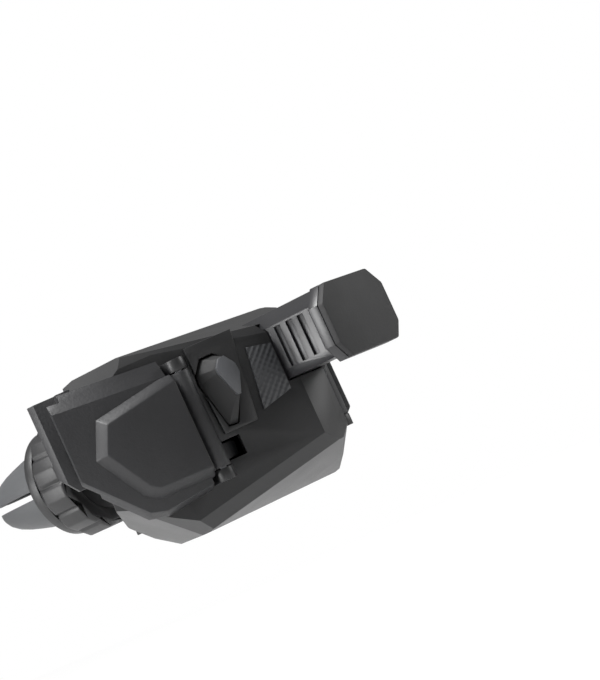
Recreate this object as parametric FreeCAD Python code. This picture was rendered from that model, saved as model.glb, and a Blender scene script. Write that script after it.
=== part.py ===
# Air vent phone holder with self-closing arms.
#
# Sizes are in millimetres. +Z is up, +Y points into the air vent and -Y
# towards the driver. The origin is at the root of the slots between the four
# rubber fingers, where the edge of a vent slat stops.
#
# A prow-shaped housing carries two arms, which are shown swung open. The phone
# pushes the trigger at the prow, and the heels of the arms follow the ledge
# on the trigger's carriage until the arms close on the phone.
import FreeCAD
import Part
from FreeCAD import Vector
import math
import os

# Plan of the prow: both front faces sweep back from the centre line.
sweep_deg = 38.8
apex_y = -78.3
nose_half_width = 5.0
face_length = 52.2
end_wall_x = 37.5
end_wall_y = -39.5
rear_half_width = 21.0
rear_y = -28.0
rear_corner_radius = 4.0

# Side view of the housing.
roof_z = 17.6
roof_front_y = -57.0
roof_rear_y = -37.0
roof_tail_z = 14.6
floor_z = -24.0
floor_front_y = -52.0
floor_rear_y = -33.0
floor_tail_z = -20.5
nose_top_z = 11.8
nose_bottom_z = -17.6
wall = 2.0
face_bevel = 2.6
parting_y = -47.0

# Fits between pieces.
running_fit = 0.05
sliding_gap = 0.35
open_gap = 0.5

# Vent clip.
finger_length = 19.0
finger_root_half = 8.5
finger_tip_half = 4.2
slot_half = 0.9
finger_tip_radius = 2.2
core_tang_half = 1.4
core_tang_length = 12.0
clip_flange_radius = 12.6
clip_flange_thickness = 2.4
spigot_radius = 6.0
spigot_length = 6.2

# Lock ring and swivel.
ring_radius = 14.4
ring_length = 8.6
ring_flats = 12
ring_chamfer = 1.2
swivel_disc_thickness = 3.0
fork_half_width = 8.0
fork_gap_half = 4.2
fork_radius = 3.6
tilt_pin_radius = 1.5
tilt_reach = 4.2

# Knuckle and yoke.
pan_y = -23.0
pan_pin_radius = 1.8
knuckle_radius = 5.0
cheek_half_width = 12.0
cheek_rear_y = -17.4
cheek_pan_allowance = 25.5
cheek_lower_z = -18.3
cheek_upper_z = 14.0
cheek_thickness = 7.0
bridge_front_y = -35.0
bridge_thickness = 4.0
window_length = 5.0
window_half_width = 6.5

# Arms, measured along the left face (s), out from it (o) and up (z).
pivot_s = 31.0
pivot_o = 1.9
barrel_radius = 2.1
barrel_bottom_z = -12.7
barrel_top_z = 9.2
arm_pin_radius = 1.0
ear_thickness = 2.6
plate_back_o = 0.5
plate_front_o = 3.1
plate_tip_s = 59.8
plate_top_z = 9.3
plate_tip_top_z = 11.4
plate_tip_bottom_z = -3.6
plate_low_z = -16.2
top_slope_rise = 3.8
boss_height = 2.2
tip_back_o = -3.2
lip_thickness = 1.5
back_lip_reach = 2.8
channel_depth = 3.0
heel_length = 8.0
heel_radius = 1.5
heel_start_deg = 12.0
heel_bottom_z = -11.6
heel_top_z = -8.2

# Trigger.
trigger_half_width = 6.6
trigger_bottom_z = -1.5
trigger_top_z = 13.5
trigger_face_y = -92.15
trigger_pad_thickness = 1.6
trigger_plate_thickness = 2.4
trigger_plate_half_width = 13.0
trigger_travel = 12.0
stem_rear_y = -52.0
stem_wall = 2.2
rib_pitch = 3.2
rib_depth = 0.7
ledge_half_width = 17.4
ledge_thickness = 3.0
ledge_bottom_z = -12.6
ledge_top_z = -7.4
spring_x = 14.6
spring_z = -10.0
spring_radius = 1.9
spring_wire_width = 0.7
spring_turns = 5.0
spring_steps_per_turn = 8
spring_free_length = 11.6
spring_clearance = 0.4
tube_wall = 1.2

# Release button on each face.
button_gap = 0.3
button_foot_o = -0.6
button_skirt_top_o = 3.0
button_cap_top_o = 4.2
panel_thickness = 0.8
patch_thickness = 0.6

# Cover screws.
screw_x = 17.0
screw_z = 11.4
screw_radius = 1.1
screw_length = 22.0
screw_tip_y = -51.6
screw_head_radius = 2.0
screw_head_thickness = 1.2
screw_head_y = -29.6
screw_boss_radius = 2.6

os.makedirs("parts", exist_ok=True)

sweep = math.radians(sweep_deg)
face_turn_deg = 180.0 - sweep_deg
nose_y = apex_y + nose_half_width * math.tan(sweep)


def prism(points, axis, start, end):
    """Solid from an outline across one axis, between two heights on it."""
    def place(a, b):
        if axis == "x":
            return Vector(start, a, b)
        if axis == "y":
            return Vector(a, start, b)
        return Vector(a, b, start)

    lift = {"x": Vector(end - start, 0, 0), "y": Vector(0, end - start, 0), "z": Vector(0, 0, end - start)}
    wire = Part.makePolygon([place(a, b) for a, b in points + points[:1]])
    return Part.Face(wire).extrude(lift[axis])


def block(x0, x1, y0, y1, z0, z1):
    return Part.makeBox(x1 - x0, y1 - y0, z1 - z0, Vector(x0, y0, z0))


def rod(radius, length, start, direction):
    return Part.makeCylinder(radius, length, start, direction)


def square_post(half, x, z, y_front, y_rear):
    """A square post along Y, centred on x and z."""
    return block(x - half, x + half, y_front, y_rear, z - half, z + half)


def on_face(shape):
    """Takes a shape drawn as (s, o, z) to the left face of the prow."""
    turned = shape.copy()
    turned.rotate(Vector(0, 0, 0), Vector(0, 0, 1), face_turn_deg)
    turned.translate(Vector(0, apex_y, 0))
    return turned


def mirrored(shape):
    return shape.mirror(Vector(0, 0, 0), Vector(1, 0, 0))


def both(shape):
    return [shape, mirrored(shape)]


def save(name, shape):
    solid = shape.removeSplitter()
    if solid.ShapeType != "Solid":
        solid = solid.Solids[0] if len(solid.Solids) == 1 else solid
    print(name, len(solid.Solids), "solid", round(solid.Volume, 1), "mm3", solid.isValid())
    solid.exportStep("parts/" + name + ".step")


def save_pair(name, left):
    save(name + "_left", left)
    save(name + "_right", mirrored(left))


def loft(lower, upper):
    return Part.makeLoft([lower, upper], True, True)


def face_outline(points, o):
    """Closed outline in the plane o of the left face, from (s, z) pairs."""
    return Part.makePolygon([Vector(s, o, z) for s, z in points + points[:1]])


def grown(points, amount):
    """Moves each side of a face outline outwards by the same amount."""
    flat = Part.Face(Part.makePolygon([Vector(s, z, 0) for s, z in points + points[:1]]))
    wide = flat.makeOffset2D(amount, join=2)
    ordered = wide.OuterWire.OrderedVertexes
    return [(v.X, v.Y) for v in ordered]


def housing_block(inset):
    """Outer form of the housing, with every wall moved in by inset."""
    corner_x = face_length * math.cos(sweep)
    corner_y = apex_y + face_length * math.sin(sweep)
    half = [
        (nose_half_width, nose_y),
        (corner_x, corner_y),
        (end_wall_x, end_wall_y),
        (rear_half_width, rear_y),
    ]
    plan = half + [(-x, y) for x, y in reversed(half)]
    front = apex_y - 4.0
    top_slope = (roof_z - nose_top_z) / (roof_front_y - nose_y)
    floor_slope = (floor_z - nose_bottom_z) / (floor_front_y - nose_y)
    side = [
        (front, nose_top_z + top_slope * (front - nose_y)),
        (roof_front_y, roof_z),
        (roof_rear_y, roof_z),
        (rear_y, roof_tail_z),
        (rear_y, floor_tail_z),
        (floor_rear_y, floor_z),
        (floor_front_y, floor_z),
        (front, nose_bottom_z + floor_slope * (front - nose_y)),
    ]
    plan_face = Part.Face(Part.makePolygon([Vector(x, y, -60) for x, y in plan + plan[:1]]))
    side_face = Part.Face(Part.makePolygon([Vector(-60, y, z) for y, z in side + side[:1]]))
    if inset:
        plan_face = plan_face.makeOffset2D(-inset, join=2)
        side_face = side_face.makeOffset2D(-inset, join=2)
    body = plan_face.extrude(Vector(0, 0, 120)).common(side_face.extrude(Vector(120, 0, 0)))
    body = body.removeSplitter()
    upright = []
    bevelled = []
    for edge in body.Edges:
        a = edge.Vertexes[0].Point
        b = edge.Vertexes[-1].Point
        middle = (a + b) * 0.5
        depth = math.sin(sweep) * abs(middle.x) - math.cos(sweep) * (middle.y - apex_y)
        is_upright = abs(a.x - b.x) < 0.01 and abs(a.y - b.y) < 0.01
        if is_upright and middle.y > parting_y + 3:
            upright.append(edge)
        if not is_upright and abs(depth + inset) < 0.05:
            bevelled.append(edge)
    body = body.makeFillet(rear_corner_radius - inset, upright)
    bevels = []
    for edge in body.Edges:
        middle = edge.valueAt((edge.FirstParameter + edge.LastParameter) / 2)
        for old in bevelled:
            centre = (old.Vertexes[0].Point + old.Vertexes[-1].Point) * 0.5
            if (middle - centre).Length < 0.05:
                bevels.append(edge)
    return body.makeChamfer(face_bevel, bevels)


# Root piece of the clip: a flange and a spigot, with a stiff tang in each finger.
core = rod(clip_flange_radius, clip_flange_thickness, Vector(0, -clip_flange_thickness, 0), Vector(0, 1, 0))
spigot_end = -clip_flange_thickness - spigot_length
core = core.fuse(rod(spigot_radius, spigot_length, Vector(0, spigot_end, 0), Vector(0, 1, 0)))
tang_offset = finger_root_half * 0.42
for sx in (-1, 1):
    for sz in (-1, 1):
        tang = square_post(core_tang_half, sx * tang_offset, sz * tang_offset, 0, core_tang_length)
        core = core.fuse(tang)
save("clip_core", core)

# Four tapered rubber fingers, with crossed slots between them for the slat.
finger_outline = [
    (slot_half, 0),
    (finger_root_half, 0),
    (finger_root_half, 2.0),
    (finger_tip_half, finger_length),
    (slot_half, finger_length),
]
upright_form = prism(finger_outline, "z", slot_half, finger_root_half)
taper_form = prism([(y, z) for z, y in finger_outline], "x", slot_half, finger_root_half)
dome_start = finger_length - finger_tip_radius
dome_edge = finger_tip_half + 0.6
dome = Part.Wire([
    Part.makeLine(Vector(0, 0, 0), Vector(finger_root_half + 1.6, 0, 0)),
    Part.makeLine(Vector(finger_root_half + 1.6, 0, 0), Vector(finger_root_half + 1.6, 2.0, 0)),
    Part.makeLine(Vector(finger_root_half + 1.6, 2.0, 0), Vector(dome_edge, dome_start, 0)),
    Part.makeLine(Vector(dome_edge, dome_start, 0), Vector(dome_edge - 3.0, finger_length, 0)),
    Part.makeLine(Vector(dome_edge - 3.0, finger_length, 0), Vector(0, finger_length, 0)),
    Part.makeLine(Vector(0, finger_length, 0), Vector(0, 0, 0)),
])
dome_form = Part.Face(dome).revolve(Vector(0, 0, 0), Vector(0, 1, 0), 360)
finger = upright_form.common(taper_form).common(dome_form)
tang_hole = square_post(core_tang_half, tang_offset, tang_offset, 0, core_tang_length)
finger = finger.cut(tang_hole)
finger_right = finger
save("finger_upper_right", finger_right)
save("finger_upper_left", mirrored(finger_right))
finger_low = finger_right.mirror(Vector(0, 0, 0), Vector(0, 0, 1))
save("finger_lower_right", finger_low)
save("finger_lower_left", mirrored(finger_low))

# Lock ring round the spigot, with flats to turn it by and a chamfered rim.
ring_rear_y = -clip_flange_thickness - 0.3
ring_front_y = ring_rear_y - ring_length
ring_points = []
for step in range(ring_flats):
    angle = 2 * math.pi * (step + 0.5) / ring_flats
    ring_points.append((ring_radius * math.cos(angle), ring_radius * math.sin(angle)))
ring = prism(ring_points, "y", ring_front_y, ring_rear_y)
rims = []
for edge in ring.Edges:
    if abs(edge.Vertexes[0].Point.y - edge.Vertexes[-1].Point.y) < 0.01:
        rims.append(edge)
ring = ring.makeChamfer(ring_chamfer, rims)
for step in range(ring_flats):
    angle = 2 * math.pi * step / ring_flats
    notch_x = (ring_radius + 0.5) * math.cos(angle)
    notch_z = (ring_radius + 0.5) * math.sin(angle)
    notch = block(-1.2, 1.2, ring_front_y - 1, ring_rear_y + 1, -1.2, 1.2)
    notch.rotate(Vector(0, 0, 0), Vector(0, 1, 0), 45 - math.degrees(angle))
    notch.translate(Vector(notch_x, 0, notch_z))
    ring = ring.cut(notch)
ring = ring.cut(rod(fork_half_width + 2.2, swivel_disc_thickness, Vector(0, ring_front_y, 0),
                    Vector(0, 1, 0)))
ring = ring.cut(rod(spigot_radius + running_fit, ring_length + 1, Vector(0, ring_front_y, 0),
                    Vector(0, 1, 0)))
save("lock_ring", ring)

# Swivel: a disc in the ring's seat and a fork for the tilt pin.
tilt_y = ring_front_y - tilt_reach
fork = rod(fork_half_width + 2.2, swivel_disc_thickness - 0.9, Vector(0, ring_front_y, 0), Vector(0, 1, 0))
fork_profile = rod(fork_radius, 2 * fork_half_width, Vector(-fork_half_width, tilt_y, 0), Vector(1, 0, 0))
fork = fork.fuse(fork_profile)
fork = fork.fuse(block(-fork_half_width, fork_half_width, tilt_y, ring_front_y, -fork_radius, fork_radius))
fork_gap = block(-fork_gap_half, fork_gap_half, tilt_y - fork_radius - 1, ring_front_y, -12, 12)
fork = fork.cut(fork_gap)
fork = fork.cut(rod(tilt_pin_radius, 40, Vector(-20, tilt_y, 0), Vector(1, 0, 0)))
save("swivel_fork", fork)
tilt_pin_start = Vector(-fork_half_width, tilt_y, 0)
save("tilt_pin", rod(tilt_pin_radius, 2 * fork_half_width, tilt_pin_start, Vector(1, 0, 0)))

# Knuckle: turns on the tilt pin behind and on the upright pan pin in front.
upper_cheek_bottom = cheek_upper_z - cheek_thickness
lower_cheek_top = cheek_lower_z + cheek_thickness
knuckle_top = upper_cheek_bottom - 0.3
knuckle_bottom = lower_cheek_top + 0.3
knuckle_start = Vector(0, pan_y, knuckle_bottom)
knuckle = rod(knuckle_radius, knuckle_top - knuckle_bottom, knuckle_start, Vector(0, 0, 1))
tongue_half = fork_gap_half - 0.3
tongue = block(-tongue_half, tongue_half, pan_y, tilt_y, -fork_radius + 0.2, fork_radius - 0.2)
tongue = tongue.fuse(rod(fork_radius - 0.2, 2 * tongue_half, Vector(-tongue_half, tilt_y, 0),
                         Vector(1, 0, 0)))
knuckle = knuckle.fuse(tongue)
knuckle = knuckle.cut(rod(pan_pin_radius + running_fit, 60, Vector(0, pan_y, -30), Vector(0, 0, 1)))
knuckle = knuckle.cut(rod(tilt_pin_radius + running_fit, 40, Vector(-20, tilt_y, 0), Vector(1, 0, 0)))
save("knuckle", knuckle)

# Yoke: two cheeks out of the housing's back, joined by a bridge inside it.
# The nose of each cheek is cut off square to the pan limits, so it turns clear of the ring.
pan_limit = math.radians(cheek_pan_allowance)
cheek_nose_reach = cheek_rear_y - pan_y
cheek_nose_half = cheek_nose_reach * (1 - math.cos(pan_limit)) / math.sin(pan_limit)
cheek_shoulder_y = pan_y + (cheek_nose_reach - cheek_half_width * math.sin(pan_limit)) / math.cos(pan_limit)
cheek_outline = [
    (-cheek_half_width, bridge_front_y),
    (cheek_half_width, bridge_front_y),
    (cheek_half_width, cheek_shoulder_y),
    (cheek_nose_half, cheek_rear_y),
    (-cheek_nose_half, cheek_rear_y),
    (-cheek_half_width, cheek_shoulder_y),
]
yoke = prism(cheek_outline, "z", cheek_lower_z, cheek_upper_z)
between = block(-30, 30, bridge_front_y + bridge_thickness, 0, lower_cheek_top, upper_cheek_bottom)
yoke = yoke.cut(between)
window_y = bridge_front_y + bridge_thickness + 0.6
window = block(-window_half_width, window_half_width, bridge_front_y - 1, bridge_front_y + 10, -7.0, 3.0)
yoke = yoke.cut(window)
lower_hollow = (cheek_lower_z + 1.6, lower_cheek_top - 1.6)
upper_hollow = (upper_cheek_bottom + 1.6, cheek_upper_z - 1.6)
hollow_y = window_y + 1.4
for low, high in (lower_hollow, upper_hollow):
    for sx in (-1, 1):
        x0 = sx * 4.0
        x1 = sx * (cheek_half_width + 1)
        yoke = yoke.cut(block(min(x0, x1), max(x0, x1), hollow_y, hollow_y + window_length, low, high))
yoke = yoke.cut(rod(pan_pin_radius, 60, Vector(0, pan_y, -30), Vector(0, 0, 1)))
save("yoke", yoke)
pan_pin_start = Vector(0, pan_y, cheek_lower_z)
save("pan_pin", rod(pan_pin_radius, cheek_upper_z - cheek_lower_z, pan_pin_start, Vector(0, 0, 1)))

# Arm outlines on the face.
plate_front = [
    (pivot_s, plate_top_z),
    (plate_tip_s, plate_tip_top_z),
    (plate_tip_s, plate_tip_bottom_z),
    (49.2, plate_low_z + 1.0),
    (45.6, plate_low_z),
    (33.6, plate_low_z + 1.2),
    (pivot_s, barrel_bottom_z),
]
plate_back = [
    (pivot_s, plate_top_z + top_slope_rise),
    (plate_tip_s, plate_tip_top_z + top_slope_rise),
    (plate_tip_s, plate_tip_bottom_z - 1.4),
    (49.6, plate_low_z - 0.2),
    (45.4, plate_low_z - 1.2),
    (33.2, plate_low_z + 0.2),
    (pivot_s, barrel_bottom_z),
]
boss_top = [
    (33.4, 7.8),
    (50.4, 5.0),
    (53.0, -0.8),
    (47.4, -10.2),
    (45.4, -11.4),
    (33.0, -11.8),
]

# Arm: plate with a sloped top edge, hinge barrel, heel and channel at the tip.
plate = loft(face_outline(plate_back, plate_back_o), face_outline(plate_front, plate_front_o))
tip_side = [
    (face_length + 1.4, plate_back_o),
    (plate_tip_s, plate_back_o),
    (plate_tip_s + back_lip_reach, tip_back_o),
    (face_length + 4.2, tip_back_o),
]
tip = prism(tip_side, "z", plate_tip_bottom_z - 1.4, plate_tip_top_z + top_slope_rise)
under = prism([(40, plate_low_z - 3.4), (49.6, plate_low_z - 0.2), (plate_tip_s, plate_tip_bottom_z - 1.4),
               (80, plate_tip_bottom_z + 26), (80, -60), (40, -60)], "y", tip_back_o - 1, plate_front_o + 1)
plate = plate.fuse(tip).cut(under)
groove = block(plate_tip_s - channel_depth, plate_tip_s + 8, tip_back_o + lip_thickness,
               plate_front_o - lip_thickness, -40, 40)
plate = plate.cut(groove)
barrel = rod(barrel_radius, barrel_top_z - barrel_bottom_z, Vector(pivot_s, pivot_o, barrel_bottom_z),
             Vector(0, 0, 1))
above_barrel = block(pivot_s - 6, pivot_s + 3.2, plate_back_o - 1, plate_front_o + 1, barrel_top_z, 40)
below_barrel = block(pivot_s - 6, pivot_s + 3.2, plate_back_o - 1, plate_front_o + 1, -40, barrel_bottom_z)
arm = plate.cut(above_barrel).cut(below_barrel).fuse(barrel)
heel_turn = math.radians(heel_start_deg - face_turn_deg)
heel_end = Vector(pivot_s + heel_length * math.cos(heel_turn), pivot_o + heel_length * math.sin(heel_turn),
                  heel_bottom_z)
across = Vector(-math.sin(heel_turn), math.cos(heel_turn), 0) * heel_radius
foot = Vector(pivot_s, pivot_o, heel_bottom_z)
heel_wire = Part.makePolygon([foot + across, heel_end + across, heel_end - across, foot - across,
                              foot + across])
heel = Part.Face(heel_wire).extrude(Vector(0, 0, heel_top_z - heel_bottom_z))
heel = heel.fuse(rod(heel_radius, heel_top_z - heel_bottom_z, heel_end, Vector(0, 0, 1)))
arm = arm.fuse(heel)
pin_hole = rod(arm_pin_radius + running_fit, 80, Vector(pivot_s, pivot_o, -40), Vector(0, 0, 1))
arm = arm.cut(pin_hole)
save_pair("arm", on_face(arm))

# Raised five-sided pad on the arm, with sloping sides.
boss_foot = grown(boss_top, boss_height)
pad = loft(face_outline(boss_foot, plate_front_o),
           face_outline(grown(boss_top, 0.01), plate_front_o + boss_height))
beyond_barrel = block(pivot_s - 8, pivot_s + barrel_radius + 0.3, 0, 9, -40, 40)
plate_limit = prism(plate_front, "y", plate_front_o - 1, plate_front_o + boss_height + 1)
save_pair("arm_pad", on_face(pad.cut(beyond_barrel).common(plate_limit)))

# Rubber strip in the channel at the arm's tip.
strip_o0 = tip_back_o + lip_thickness
strip_o1 = plate_front_o - lip_thickness
strip = block(plate_tip_s - channel_depth, plate_tip_s - channel_depth + 1.4, strip_o0, strip_o1,
              plate_tip_bottom_z + 0.6, plate_tip_top_z)
save_pair("tip_pad", on_face(strip))

# Release button: lighter cap on a sloping black skirt.
button_foot = [(22.4, 9.8), (25.2, 9.8), (27.4, 7.0), (27.6, 5.0), (25.2, -5.2), (23.2, -5.4), (19.0, 4.0),
               (19.2, 6.4)]
button_top = [(21.2, 8.6), (22.6, 8.4), (23.8, 6.6), (23.8, 5.6), (21.9, 0.0), (21.0, -0.2), (19.3, 4.2),
              (19.5, 6.2)]
skirt = loft(face_outline(button_foot, 0.2), face_outline(button_top, button_skirt_top_o))
skirt = skirt.fuse(prism(button_foot, "y", button_foot_o, 0.2))
stem_hole = block(20.2, 22.6, button_foot_o - 1, 9, 2.4, 6.4)
skirt = skirt.cut(stem_hole)
save_pair("button_skirt", on_face(skirt))
cap = prism(button_top, "y", button_skirt_top_o, button_cap_top_o)
cap = cap.fuse(block(20.2, 22.6, -wall - 1.2, button_skirt_top_o, 2.4, 6.4))
cap = cap.fuse(block(17.4, 22.6, -wall - 1.2, -wall - 0.4, 0.0, 8.4))
save_pair("button_cap", on_face(cap))

# Where the ledge stands, just behind the heels of the arms.
heel_row_y = (apex_y + pivot_s * math.sin(sweep) - pivot_o * math.cos(sweep)
              + heel_length * math.sin(math.radians(heel_start_deg)))
ledge_front_y = heel_row_y + heel_radius + open_gap
ledge_rear_y = ledge_front_y + ledge_thickness

# Covers: one shell split across its widest part.
outer = housing_block(0.0)
inner = housing_block(wall)
shell = outer.cut(inner)
front_half = block(-80, 80, -120, parting_y, -60, 60)
rear_half = block(-80, 80, parting_y, 20, -60, 60)
front_cover = shell.common(front_half)

# Ears for the arm pins, and the openings in the two faces.
ear_outline = [
    (pivot_s - barrel_radius - 1.2, -0.6),
    (pivot_s + barrel_radius + 1.2, -0.6),
    (pivot_s + barrel_radius, pivot_o),
    (pivot_s - barrel_radius, pivot_o),
]
ears = []
for low in (barrel_top_z + 0.3, barrel_bottom_z - 0.3 - ear_thickness):
    ear = prism(ear_outline, "z", low, low + ear_thickness)
    ear = ear.fuse(rod(barrel_radius, ear_thickness, Vector(pivot_s, pivot_o, low), Vector(0, 0, 1)))
    ears.append(ear)
pin_bottom = barrel_bottom_z - 0.3 - ear_thickness
pin_top = barrel_top_z + 0.3 + ear_thickness
pin_bore = rod(arm_pin_radius, pin_top - pin_bottom, Vector(pivot_s, pivot_o, pin_bottom), Vector(0, 0, 1))
barrel_relief = rod(barrel_radius + 0.4, barrel_top_z - barrel_bottom_z + 0.6,
                    Vector(pivot_s, pivot_o, barrel_bottom_z - 0.3), Vector(0, 0, 1))
heel_slot = block(pivot_s - 7.0, pivot_s + 8.6, -wall - 1.0, 2.0, heel_bottom_z - 0.5, heel_top_z + 0.5)
button_hole = prism(grown(button_foot, button_gap), "y", -wall - 1.0, 3.0)
for ear in ears:
    for piece in both(on_face(ear)):
        front_cover = front_cover.fuse(piece)
for tool in (barrel_relief, pin_bore, heel_slot, button_hole):
    for piece in both(on_face(tool)):
        front_cover = front_cover.cut(piece)
stem_half = trigger_half_width + sliding_gap
nose_hole = block(-stem_half, stem_half, -100, nose_y + 12, trigger_bottom_z - sliding_gap,
                  trigger_top_z + sliding_gap)
front_cover = front_cover.cut(nose_hole)
rail = block(-9.8, 9.8, -68, -52, floor_z, ledge_bottom_z - sliding_gap)
front_cover = front_cover.fuse(rail.common(inner))
for sx in (-1, 1):
    boss = square_post(screw_boss_radius, sx * screw_x, screw_z, parting_y - 30, parting_y)
    front_cover = front_cover.fuse(boss.common(inner))
for sx in (-1, 1):
    front_cover = front_cover.cut(rod(screw_radius, screw_length, Vector(sx * screw_x, screw_tip_y, screw_z),
                                      Vector(0, 1, 0)))
save("front_cover", front_cover)
save_pair("arm_pin", on_face(pin_bore))

# Rear cover: open at the back for the yoke, with two spring tubes inside.
rear_cover = shell.common(rear_half)
rear_cover = rear_cover.cut(block(-cheek_half_width, cheek_half_width, bridge_front_y + 0.2, 0,
                                  cheek_lower_z, cheek_upper_z))
seat_block = block(-cheek_half_width - 2.0, cheek_half_width + 2.0, bridge_front_y, rear_y - 1.0,
                   floor_z + 1, roof_z - 1)
seat = seat_block.common(inner)
seat = seat.cut(block(-cheek_half_width, cheek_half_width, bridge_front_y - 1, 0, cheek_lower_z,
                      cheek_upper_z))
rear_cover = rear_cover.fuse(seat)
for sx in (-1, 1):
    boss = square_post(screw_boss_radius, sx * screw_x, screw_z, parting_y, rear_y)
    rear_cover = rear_cover.fuse(boss.common(inner))
for sx in (-1, 1):
    rear_cover = rear_cover.cut(rod(screw_radius, screw_length, Vector(sx * screw_x, screw_tip_y, screw_z),
                                    Vector(0, 1, 0)))
    rear_cover = rear_cover.cut(rod(screw_head_radius, 10, Vector(sx * screw_x, screw_head_y, screw_z),
                                    Vector(0, 1, 0)))
tube_front = ledge_rear_y + trigger_travel + open_gap
tube_bore_radius = spring_radius + spring_wire_width / 2 + spring_clearance
tube_rear = rear_y
for sx in (-1, 1):
    tube = square_post(tube_bore_radius + tube_wall, sx * spring_x, spring_z, tube_front, tube_rear)
    rear_cover = rear_cover.fuse(tube.common(outer))
for sx in (-1, 1):
    bore = rod(tube_bore_radius, tube_rear - tube_front - 1.0,
               Vector(sx * spring_x, tube_front, spring_z), Vector(0, 1, 0))
    rear_cover = rear_cover.cut(bore)
rear_cover = rear_cover.cut(block(-cheek_half_width, cheek_half_width, bridge_front_y, 0,
                                  cheek_lower_z, cheek_upper_z))
save("rear_cover", rear_cover)

# Raised panel round the button, and the textured patch by the nose.
panel_outline = [(16.2, 14.2), (19.0, -6.6), (26.9, -6.6), (27.6, 5.9), (27.6, 13.6)]
panel = prism(panel_outline, "y", 0.0, panel_thickness)
panel = panel.cut(prism(grown(button_foot, button_gap), "y", -1, 3))
panel = panel.cut(rod(barrel_radius + 0.5, 80, Vector(pivot_s, pivot_o, -40), Vector(0, 0, 1)))
panel = on_face(panel).common(block(-80, -1, -120, 0, -60, roof_z - face_bevel - 1.6))
save_pair("face_panel", panel)
patch_outline = [(9.3, 7.2), (14.8, 8.4), (16.8, -5.2), (9.3, -3.4)]
patch = prism(patch_outline, "y", 0.0, patch_thickness)
save_pair("grip_patch", on_face(patch))

# Trigger stem: ribbed sides between two smooth flanges, hollow from behind.
hump = [
    (-trigger_half_width, trigger_bottom_z),
    (trigger_half_width, trigger_bottom_z),
    (trigger_half_width, trigger_top_z - 3.0),
    (trigger_half_width - 3.0, trigger_top_z),
    (-trigger_half_width + 3.0, trigger_top_z),
    (-trigger_half_width, trigger_top_z - 3.0),
]
stem_front_y = trigger_face_y + trigger_pad_thickness + trigger_plate_thickness
stem = prism(hump, "y", stem_front_y, stem_rear_y)
stem = stem.cut(block(-trigger_half_width + stem_wall, trigger_half_width - stem_wall, stem_front_y + 3.0,
                      stem_rear_y + 1, trigger_bottom_z + stem_wall, trigger_top_z - stem_wall))
rib_y = stem_front_y + 2.4
while rib_y < nose_y - 1.5:
    for sx in (-1, 1):
        x0 = sx * (trigger_half_width - rib_depth)
        x1 = sx * (trigger_half_width + 1)
        stem = stem.cut(block(min(x0, x1), max(x0, x1), rib_y, rib_y + rib_pitch / 2,
                              trigger_bottom_z + 2.2, trigger_top_z - 3.6))
    rib_y += rib_pitch
front_plate = [
    (-trigger_plate_half_width, trigger_bottom_z + 2.0),
    (-trigger_plate_half_width + 3.0, trigger_bottom_z - 1.5),
    (trigger_plate_half_width - 3.0, trigger_bottom_z - 1.5),
    (trigger_plate_half_width, trigger_bottom_z + 2.0),
    (trigger_plate_half_width, trigger_top_z - 4.0),
    (trigger_plate_half_width - 4.0, trigger_top_z),
    (-trigger_plate_half_width + 4.0, trigger_top_z),
    (-trigger_plate_half_width, trigger_top_z - 4.0),
]
stem = stem.fuse(prism(front_plate, "y", trigger_face_y + trigger_pad_thickness, stem_front_y))
save("trigger", stem)
save("trigger_pad", prism(front_plate, "y", trigger_face_y, trigger_face_y + trigger_pad_thickness))

# Carriage under the stem, with the ledge that the heels of the arms follow.
carriage = block(-trigger_half_width + 1.0, trigger_half_width - 1.0, -66.0, stem_rear_y,
                 ledge_bottom_z, trigger_bottom_z)
carriage = carriage.cut(block(-4.5, 4.5, -70, ledge_front_y - 1.0, ledge_bottom_z - 1,
                              trigger_bottom_z - 2.0))
carriage = carriage.fuse(block(-ledge_half_width, ledge_half_width, ledge_front_y, ledge_rear_y,
                               ledge_bottom_z, ledge_top_z))
save("trigger_carriage", carriage)

# Return springs, seated on the ledge and running into the tubes behind it.
pitch = spring_free_length / spring_turns
coil_points = []
for step in range(int(spring_turns * spring_steps_per_turn) + 1):
    angle = 2 * math.pi * step / spring_steps_per_turn
    coil_points.append(Vector(spring_radius * math.cos(angle), spring_radius * math.sin(angle),
                              pitch * step / spring_steps_per_turn))
half_wire = spring_wire_width / 2
section = Part.makePolygon([Vector(spring_radius + x, 0, z) for x, z in (
    (-half_wire, -half_wire), (half_wire, -half_wire), (half_wire, half_wire), (-half_wire, half_wire),
    (-half_wire, -half_wire))])
coil = Part.makePolygon(coil_points).makePipeShell([section], True, False, 1)
coil.rotate(Vector(0, 0, 0), Vector(1, 0, 0), -90)
coil.translate(Vector(-spring_x, ledge_rear_y + half_wire, spring_z))
save_pair("trigger_spring", coil)

# Two screws hold the covers together from behind.
for name, sx in (("left", -1), ("right", 1)):
    screw = rod(screw_radius, screw_length, Vector(sx * screw_x, screw_tip_y, screw_z), Vector(0, 1, 0))
    head_start = Vector(sx * screw_x, screw_head_y, screw_z)
    screw = screw.fuse(rod(screw_head_radius, screw_head_thickness, head_start, Vector(0, 1, 0)))
    slot_y = screw_head_y + screw_head_thickness - 0.7
    for turn in (0, 90):
        recess = block(-1.3, 1.3, slot_y, slot_y + 2, -0.35, 0.35)
        recess.rotate(Vector(0, 0, 0), Vector(0, 1, 0), turn)
        recess.translate(Vector(sx * screw_x, 0, screw_z))
        screw = screw.cut(recess)
    save("cover_screw_" + name, screw)
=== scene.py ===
import bmesh
import bpy
import math
from mathutils import Matrix, Vector


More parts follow.
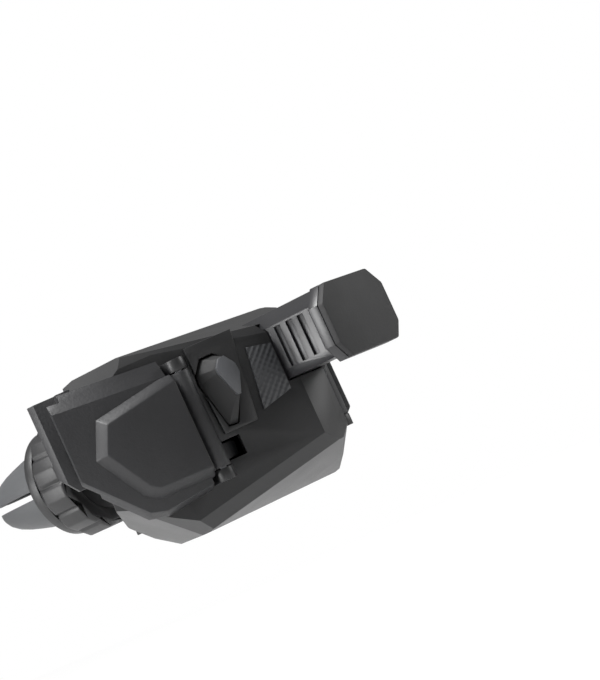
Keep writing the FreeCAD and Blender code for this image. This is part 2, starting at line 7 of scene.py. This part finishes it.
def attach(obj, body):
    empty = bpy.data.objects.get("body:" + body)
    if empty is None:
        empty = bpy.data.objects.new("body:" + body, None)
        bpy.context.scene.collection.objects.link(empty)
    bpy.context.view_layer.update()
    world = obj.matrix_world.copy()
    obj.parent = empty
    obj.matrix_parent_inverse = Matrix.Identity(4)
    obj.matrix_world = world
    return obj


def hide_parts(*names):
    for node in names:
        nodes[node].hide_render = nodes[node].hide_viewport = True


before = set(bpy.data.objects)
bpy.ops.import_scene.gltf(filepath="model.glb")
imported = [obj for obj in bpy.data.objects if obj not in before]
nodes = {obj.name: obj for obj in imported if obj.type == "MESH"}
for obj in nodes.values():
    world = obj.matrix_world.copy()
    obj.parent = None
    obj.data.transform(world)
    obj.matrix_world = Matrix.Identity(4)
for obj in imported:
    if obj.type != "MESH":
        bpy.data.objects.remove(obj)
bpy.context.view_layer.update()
scene = bpy.context.scene

# Camera and studio. The holder hangs from a vent, so the pale floor lies well
# below it. Four square soft boxes and a pale room light it, the strongest from
# above and the next from the picture's left, as in a catalogue picture.


def linear(code):
    """sRGB hex colour to the linear values that a shader wants."""
    parts = [int(code[i:i + 2], 16) / 255 for i in (1, 3, 5)]
    return tuple(c / 12.92 if c <= 0.04045 else ((c + 0.055) / 1.055) ** 2.4 for c in parts) + (1.0,)


def add(tree, kind, settings=None, links=None):
    """Adds a node, sets its fields or sockets, and links its inputs."""
    node = tree.nodes.new(kind)
    for key, value in (settings or {}).items():
        if isinstance(key, str) and hasattr(node, key):
            setattr(node, key, value)
        else:
            node.inputs[key].default_value = value
    for key, source in (links or {}).items():
        tree.links.new(source, node.inputs[key])
    return node


def fresh(name):
    """A new material with an empty tree and its output."""
    made = bpy.data.materials.new(name)
    made.use_nodes = True
    made.node_tree.nodes.clear()
    return made, made.node_tree, add(made.node_tree, "ShaderNodeOutputMaterial")


camera = bpy.data.objects.new("camera", bpy.data.cameras.new("camera"))
scene.collection.objects.link(camera)
camera_place = (-0.4449, -0.3556, -0.0178)
camera_right = Vector((0.5001, -0.7588, -0.4173)).normalized()
camera_up = Vector((0.1890, -0.3746, 0.9077))
camera_up = (camera_up - camera_right * camera_up.dot(camera_right)).normalized()
camera_back = camera_right.cross(camera_up)
camera_turn = Matrix((camera_right, camera_up, camera_back)).transposed().to_4x4()
camera.matrix_world = Matrix.Translation(camera_place) @ camera_turn
camera.data.sensor_fit = "VERTICAL"
camera.data.sensor_height = 36.0
camera.data.lens = 129.52
camera.data.clip_start = 0.01
scene.camera = camera
scene.view_settings.view_transform = "Standard"

lamp_target = Vector((0.0, -0.04, 0.0))
for name, place, size, watts in (
        ("key", (-0.25, 0.05, 0.55), 0.25, 8.0),
        ("left_fill", (-0.70, 0.35, 0.12), 0.30, 5.0),
        ("right_fill", (0.45, -0.55, 0.20), 0.25, 2.0),
        ("under_fill", (-0.25, -0.45, -0.35), 0.4, 1.4)):
    lamp = bpy.data.lights.new(name, "AREA")
    lamp.shape = "SQUARE"
    lamp.size = size
    lamp.energy = watts
    stand = bpy.data.objects.new(name, lamp)
    scene.collection.objects.link(stand)
    stand.location = place
    stand.rotation_euler = (Vector(place) - lamp_target).to_track_quat("Z", "Y").to_euler()

room_light = 0.3
room_seen = 1.0
room = bpy.data.worlds.new("room")
room.use_nodes = True
room.node_tree.nodes.clear()
scene.world = room
tree = room.node_tree
rays = add(tree, "ShaderNodeLightPath")
seen = add(tree, "ShaderNodeMath", {"operation": "MAXIMUM"},
           {0: rays.outputs["Is Camera Ray"], 1: rays.outputs["Is Transmission Ray"]})
strength = add(tree, "ShaderNodeMapRange", {"To Min": room_light, "To Max": room_seen},
               {"Value": seen.outputs[0]})
glow = add(tree, "ShaderNodeBackground", {"Color": linear("#ffffff")}, {"Strength": strength.outputs[0]})
add(tree, "ShaderNodeOutputWorld", None, {"Surface": glow.outputs[0]})

floor_half = 1.5
floor_height = -0.11
floor_glow = 0.72
form = bmesh.new()
bmesh.ops.create_grid(form, x_segments=1, y_segments=1, size=floor_half)
bmesh.ops.translate(form, verts=form.verts, vec=(0, 0, floor_height))
sheet = bpy.data.meshes.new("floor")
form.to_mesh(sheet)
form.free()
floor = bpy.data.objects.new("floor", sheet)
scene.collection.objects.link(floor)
paper, tree, out = fresh("white_paper_floor")
rays = add(tree, "ShaderNodeLightPath")
plain = add(tree, "ShaderNodeBsdfDiffuse", {"Color": linear("#e8e8e8")})
white = add(tree, "ShaderNodeEmission", {"Color": linear("#ffffff"), "Strength": floor_glow})
both_ways = add(tree, "ShaderNodeMixShader", None,
                {0: rays.outputs["Is Camera Ray"], 1: plain.outputs[0]})
lit = add(tree, "ShaderNodeAddShader", None, {0: white.outputs[0]})
tree.links.new(plain.outputs[0], lit.inputs[1])
tree.links.new(lit.outputs[0], both_ways.inputs[2])
tree.links.new(both_ways.outputs[0], out.inputs["Surface"])
sheet.materials.append(paper)

# Housing covers and the raised panels on the faces: ABS, injection moulded in
# two halves and screwed together from behind. The tool is finely blasted, so
# the skin is satin. Broad slopes take off the covers' outer and lower corners.


def sliced(form, place, across):
    """Cuts off what lies beyond a plane and closes the body with the hull of the cut."""
    rim = bmesh.ops.bisect_plane(form, geom=form.verts[:] + form.edges[:] + form.faces[:], dist=1e-7,
                                 plane_co=place, plane_no=across, clear_outer=True)["geom_cut"]
    level = across.orthogonal().normalized()
    other = across.cross(level)
    corners = [v for v in rim if isinstance(v, bmesh.types.BMVert)]
    points = sorted(((vert.co.dot(level), vert.co.dot(other), vert) for vert in corners),
                    key=lambda point: point[:2])
    in_line = 1e-10
    outline = []
    for row in (points, points[::-1]):
        hull = []
        for u, v, vert in row:
            while len(hull) > 1 and ((hull[-1][0] - hull[-2][0]) * (v - hull[-2][1])
                                     - (hull[-1][1] - hull[-2][1]) * (u - hull[-2][0])) <= in_line:
                hull.pop()
            hull.append((u, v, vert))
        outline += hull[:-1]
    if len(outline) > 2:
        face = form.faces.new([form.verts.new(vert.co) for u, v, vert in outline])
        face.normal_update()
        if face.normal.dot(across) < 0:
            face.normal_flip()


def eased(name, width, body, slices=()):
    """Copy of a CAD node with its sharp edges rounded, riding in its place."""
    flat_limit = math.radians(1.0)
    bevel_limit = math.radians(22)
    shading_limit = math.radians(38)
    source = nodes[name]
    form = bmesh.new()
    form.from_mesh(source.data)
    bmesh.ops.remove_doubles(form, verts=form.verts, dist=1e-6)
    for place, across in slices:
        sliced(form, Vector(place), Vector(across).normalized())
    bmesh.ops.dissolve_limit(form, angle_limit=flat_limit, verts=form.verts, edges=form.edges)
    sharp = [e for e in form.edges if len(e.link_faces) == 2 and e.calc_face_angle() > bevel_limit]
    bmesh.ops.bevel(form, geom=sharp, offset=width, offset_type="OFFSET", affect="EDGES", segments=2,
                    profile=0.5, clamp_overlap=True, material=-1)
    for face in form.faces:
        face.smooth = True
    for edge in form.edges:
        if len(edge.link_faces) == 2 and edge.calc_face_angle() > shading_limit:
            edge.smooth = False
    mesh = bpy.data.meshes.new(name + "_shown")
    form.to_mesh(mesh)
    form.free()
    mesh.materials.clear()
    piece = bpy.data.objects.new(name + "_shown", mesh)
    scene.collection.objects.link(piece)
    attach(piece, body)
    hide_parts(name)
    return piece


def moulded(name, colour, lighter, grain_mm, depth, rough):
    """Blasted or spark-eroded plastic: fine grain, cloudy colour and cloudy sheen."""
    cloud_scale = 90.0
    glossiest = rough - 0.06
    dullest = rough + 0.08
    colour_a, colour_b = 6, 7
    made, tree, out = fresh(name)
    place = add(tree, "ShaderNodeTexCoord")
    grain = add(tree, "ShaderNodeTexNoise", {"Scale": 1000.0 / grain_mm, "Detail": 3.0, "Roughness": 0.6},
                {"Vector": place.outputs["Object"]})
    cloud = add(tree, "ShaderNodeTexNoise", {"Scale": cloud_scale, "Detail": 3.0},
                {"Vector": place.outputs["Object"]})
    tint = add(tree, "ShaderNodeMix", {"data_type": "RGBA"}, {0: cloud.outputs["Fac"]})
    tint.inputs[colour_a].default_value = linear(colour)
    tint.inputs[colour_b].default_value = linear(lighter)
    sheen = add(tree, "ShaderNodeMapRange", {"To Min": glossiest, "To Max": dullest},
                {"Value": cloud.outputs["Fac"]})
    bump = add(tree, "ShaderNodeBump", {"Strength": depth, "Distance": 0.0001},
               {"Height": grain.outputs["Fac"]})
    skin = add(tree, "ShaderNodeBsdfPrincipled", {"IOR": 1.5},
               {"Base Color": tint.outputs[2], "Roughness": sheen.outputs[0], "Normal": bump.outputs[0]})
    tree.links.new(skin.outputs[0], out.inputs["Surface"])
    return made


satin_abs = moulded("satin_black_abs", "#121213", "#19191a", 0.35, 0.25, 0.42)
# Each slope is a point on its plane and the direction that it faces.
slopes = []
for side in (-1, 1):
    upper_corner = ((side * 0.030, 0.0, 0.0172), (side * 0.60, 0.0, 0.80))
    lower_corner = ((side * 0.027, 0.0, -0.0238), (side * 0.60, 0.0, -0.80))
    lower_rear_corner = ((side * 0.027, -0.050, -0.0240), (side * 0.487, 0.412, -0.773))
    slopes += [upper_corner, lower_corner, lower_rear_corner]
roof_fall = ((0.0, -0.050, 0.0176), (0.0, -0.26, 0.966))
slopes.append(roof_fall)
for node, width, cuts in (("front_cover", 0.0003, slopes), ("rear_cover", 0.0004, slopes),
                          ("face_panel_left", 0.0002, ()), ("face_panel_right", 0.0002, ())):
    eased(node, width, "housing", cuts).data.materials.append(satin_abs)

# Woven patches by the nose: the same ABS with a diagonal weave eroded into
# the tool, threads about 1.1 mm apart, raised more along one diagonal. The
# absolute values mirror the weave, and the lift keeps Z out of that.
thread = 0.0011
full_turn = 6.2832
along_x, along_y, along_z = 0.551, -0.443, 0.707
weft_share = 0.35
lift = (0.0, 0.0, 0.1)
weave_abs, tree, out = fresh("diagonal_weave_abs")
place = add(tree, "ShaderNodeTexCoord")
lifted = add(tree, "ShaderNodeVectorMath", {"operation": "ADD"}, {0: place.outputs["Object"]})
lifted.inputs[1].default_value = lift
folded = add(tree, "ShaderNodeVectorMath", {"operation": "ABSOLUTE"}, {0: lifted.outputs[0]})
strands = []
for lean in (1, -1):
    along = add(tree, "ShaderNodeVectorMath", {"operation": "DOT_PRODUCT"}, {0: folded.outputs[0]})
    along.inputs[1].default_value = (along_x * full_turn / thread, along_y * full_turn / thread,
                                     lean * along_z * full_turn / thread)
    wave = add(tree, "ShaderNodeMath", {"operation": "SINE"}, {0: along.outputs["Value"]})
    strands.append(wave.outputs[0])
weft = add(tree, "ShaderNodeMath", {"operation": "MULTIPLY"}, {0: strands[1]})
weft.inputs[1].default_value = weft_share
cross = add(tree, "ShaderNodeMath", {"operation": "ADD"}, {0: strands[0], 1: weft.outputs[0]})
bump = add(tree, "ShaderNodeBump", {"Strength": 0.5, "Distance": 0.0001}, {"Height": cross.outputs[0]})
skin = add(tree, "ShaderNodeBsdfPrincipled",
           {"Base Color": linear("#2a2b2d"), "Roughness": 0.45, "IOR": 1.5},
           {"Normal": bump.outputs[0]})
tree.links.new(skin.outputs[0], out.inputs["Surface"])
for side in ("left", "right"):
    eased("grip_patch_" + side, 0.0001, "housing").data.materials.append(weave_abs)

# Arms and their raised pads: glass-filled nylon with a coarse spark-eroded
# skin, swung on a steel pin. The rough skin keeps them dull beside the body.
spark_nylon = moulded("spark_eroded_black_nylon", "#131315", "#1d1d1f", 0.8, 0.7, 0.52)
for side in ("left", "right"):
    for node, width in (("arm_", 0.0004), ("arm_pad_", 0.0005)):
        arm_piece = eased(node + side, width, side + "_arm")
        arm_piece.data.materials.append(spark_nylon)

# Trigger: smooth acetal bar with ribbed sides. Its carriage runs inside the
# housing, and a soft pad is bonded to its front.
acetal = moulded("smooth_black_acetal", "#151517", "#1c1c1e", 0.5, 0.1, 0.35)
for node in ("trigger", "trigger_carriage"):
    eased(node, 0.0003, "trigger").data.materials.append(acetal)

# Soft parts: thermoplastic rubber pads on the trigger and in the arm tips, and
# the matt skirts of the release buttons. They scatter light and barely shine.
soft_rubber = moulded("soft_black_rubber", "#0d0d0e", "#131314", 0.6, 0.3, 0.68)
eased("trigger_pad", 0.0004, "trigger").data.materials.append(soft_rubber)
for side in ("left", "right"):
    for node, width, body, slot in (("tip_pad_", 0.0002, "_arm", "trigger_rubber"),
                                    ("button_skirt_", 0.0004, "_button", "skirt_rubber")):
        soft_piece = eased(node + side, width, side + body)
        soft_piece.data.materials.append(soft_rubber)

# Release button caps: grey ABS with a fine satin skin, snapped into the skirt.
# They are the palest of the hard plastics, as in the photograph.
grey_abs = moulded("satin_grey_abs", "#3a3b3d", "#444548", 0.4, 0.2, 0.45)
for side in ("left", "right"):
    eased("button_cap_" + side, 0.0004, side + "_button").data.materials.append(grey_abs)

# Clip fingers: dark grey silicone rubber over a stiff core, smooth from a
# polished tool. Each is a blunt, rounded quarter of a thumb, made here because
# the CAD solids keep plain facets, with a soft broad shine along its back.
silicone = moulded("dark_grey_silicone", "#3a3b3c", "#424345", 0.9, 0.12, 0.5)
mm = 0.001
slot_half = 0.9
squareness = 0.85
arc_steps = 8
edge_limit = math.radians(50)
edge_round = 0.0006
# Depth into the vent and reach from the middle, both in mm.
profile = ((0.0, 9.4), (3.0, 9.0), (6.0, 8.5), (9.0, 7.8), (12.0, 7.0),
           (14.5, 6.1), (16.5, 5.0), (17.9, 3.8), (18.7, 2.6), (19.0, 1.7))
for row, rise in (("upper", 1), ("lower", -1)):
    for side, across in (("left", -1), ("right", 1)):
        form = bmesh.new()
        rings = []
        for depth, reach in profile:
            ring = [(slot_half, slot_half)]
            for step in range(arc_steps + 1):
                turn = math.radians(90.0 * step / arc_steps)
                ring.append((slot_half + (reach - slot_half) * max(0.0, math.cos(turn)) ** squareness,
                             slot_half + (reach - slot_half) * max(0.0, math.sin(turn)) ** squareness))
            rings.append([form.verts.new((across * x * mm, depth * mm, rise * z * mm))
                          for x, z in ring])
        for low, high in zip(rings, rings[1:]):
            for step in range(len(low)):
                after = (step + 1) % len(low)
                form.faces.new((low[step], low[after], high[after], high[step]))
        form.faces.new(rings[0])
        form.faces.new(rings[-1])
        bmesh.ops.recalc_face_normals(form, faces=form.faces)
        sharp = [e for e in form.edges if e.calc_face_angle() > edge_limit]
        bmesh.ops.bevel(form, geom=sharp, offset=edge_round, offset_type="OFFSET", affect="EDGES",
                        segments=3, profile=0.5, clamp_overlap=True, material=-1)
        for face in form.faces:
            face.smooth = True
        mesh = bpy.data.meshes.new("finger_" + row + "_" + side + "_shown")
        form.to_mesh(mesh)
        form.free()
        mesh.materials.append(silicone)
        piece = bpy.data.objects.new(mesh.name, mesh)
        scene.collection.objects.link(piece)
        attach(piece, "clip")
        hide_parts("finger_" + row + "_" + side)

# Clip core, lock ring, swivel, knuckle and yoke: satin black nylon mouldings
# that carry the housing from the vent.
nylon = moulded("satin_black_nylon", "#121213", "#1a1a1b", 0.4, 0.3, 0.45)
for node, body in (("clip_core", "clip"), ("lock_ring", "swivel"), ("swivel_fork", "swivel"),
                   ("knuckle", "knuckle"), ("yoke", "housing")):
    eased(node, 0.0003, body).data.materials.append(nylon)

# Steel pins, screws and return springs: drawn or turned steel, bare. Noise
# that is squeezed along Z gives the fine tool marks. The CAD meshes are kept.
steel, tree, out = fresh("turned_steel")
place = add(tree, "ShaderNodeTexCoord")
stretch = add(tree, "ShaderNodeMapping", None, {"Vector": place.outputs["Object"]})
stretch.inputs["Scale"].default_value = (1.0, 1.0, 12.0)
marks = add(tree, "ShaderNodeTexNoise", {"Scale": 900.0, "Detail": 2.0}, {"Vector": stretch.outputs[0]})
rough = add(tree, "ShaderNodeMapRange", {"To Min": 0.25, "To Max": 0.45}, {"Value": marks.outputs["Fac"]})
bump = add(tree, "ShaderNodeBump", {"Strength": 0.15, "Distance": 0.00005},
           {"Height": marks.outputs["Fac"]})
skin = add(tree, "ShaderNodeBsdfPrincipled", {"Base Color": linear("#9c9da0"), "Metallic": 1.0},
           {"Roughness": rough.outputs[0], "Normal": bump.outputs[0]})
tree.links.new(skin.outputs[0], out.inputs["Surface"])
for node in ("tilt_pin", "pan_pin", "arm_pin_left", "arm_pin_right", "cover_screw_left",
             "cover_screw_right", "trigger_spring_left", "trigger_spring_right"):
    for mesh_slot in nodes[node].material_slots:
        mesh_slot.material = steel
